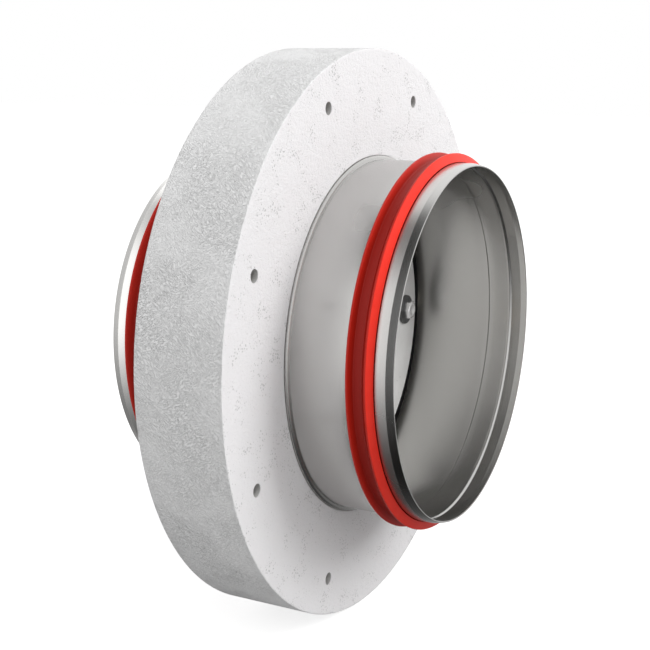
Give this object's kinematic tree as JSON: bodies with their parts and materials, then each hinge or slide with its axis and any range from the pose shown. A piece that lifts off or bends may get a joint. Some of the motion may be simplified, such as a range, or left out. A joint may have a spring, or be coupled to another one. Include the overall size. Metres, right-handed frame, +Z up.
{
  "type": "round fire damper",
  "caption": "Round fire damper: refractory ring with a lip-sealed spigot on each side and a sprung pivoting blade in the duct path.",
  "frame": {"origin": "centre of the ring, on the duct's axis and in the plane where the two ring boards meet", "axes": "+Y along the duct's axis from the front mouth to the rear mouth, +Z up, +X to the right seen from the front; the blade's shafts lie on X"},
  "size_m": [0.32, 0.168, 0.32],
  "materials": {
    "ring_board": "white calcium silicate board with a rough trowelled coating",
    "spigot_sheet": "bright galvanised sheet, rolled",
    "lip_rubber": "matt red EPDM",
    "intumescent": "black graphite strip",
    "bush_bronze": "sintered bronze",
    "bracket_steel": "galvanised sheet, bent",
    "spring_steel": "bright spring steel",
    "link_brass": "rolled brass",
    "fastener_zinc": "bright zinc plate",
    "washer_zinc": "dull zinc plate",
    "blade_board": "grey-white calcium silicate board, sanded",
    "blade_seal_rubber": "black EPDM",
    "shaft_steel": "drawn zinc-plated steel",
    "spacer_nylon": "natural nylon"
  },
  "bodies": {
    "casing": {"ring_board_front": "ring_board", "ring_board_rear": "ring_board", "front_spigot": "spigot_sheet", "rear_spigot": "spigot_sheet", "front_lip_seal": "lip_rubber", "rear_lip_seal": "lip_rubber", "intumescent_strip": "intumescent", "left_bush": "bush_bronze", "right_bush": "bush_bronze", "upper_stop": "bracket_steel", "lower_stop": "bracket_steel", "open_stop": "bracket_steel", "latch_spring": "spring_steel", "fuse_bracket": "bracket_steel", "fuse_link_free_plate": "link_brass", "fuse_link_fixed_plate": "link_brass", "fuse_link_screw": "fastener_zinc", "fuse_link_nut": "fastener_zinc", "closing_spring": "spring_steel"},
    "blade": {"blade_front_board": "blade_board", "blade_rear_board": "blade_board", "blade_seal_upper": "blade_seal_rubber", "blade_seal_lower": "blade_seal_rubber", "left_stub_shaft": "shaft_steel", "right_stub_shaft": "shaft_steel", "right_spacer": "spacer_nylon", "clamp_bolts": "fastener_zinc", "clamp_washers": "washer_zinc", "clamp_nuts": "fastener_zinc", "blade_hook": "bracket_steel", "hook_screws": "fastener_zinc"}
  },
  "joints": [
    {"name": "blade_swing", "type": "hinge", "parent": "casing", "child": "blade", "pos_m": [0, 0, 0], "axis": [1, 0, 0], "range_deg": [0, 90], "stiffness_Nm_per_rad": 0.15, "springref_deg": -89.95, "deforming": ["closing_spring", "latch_spring"]}
  ]
}
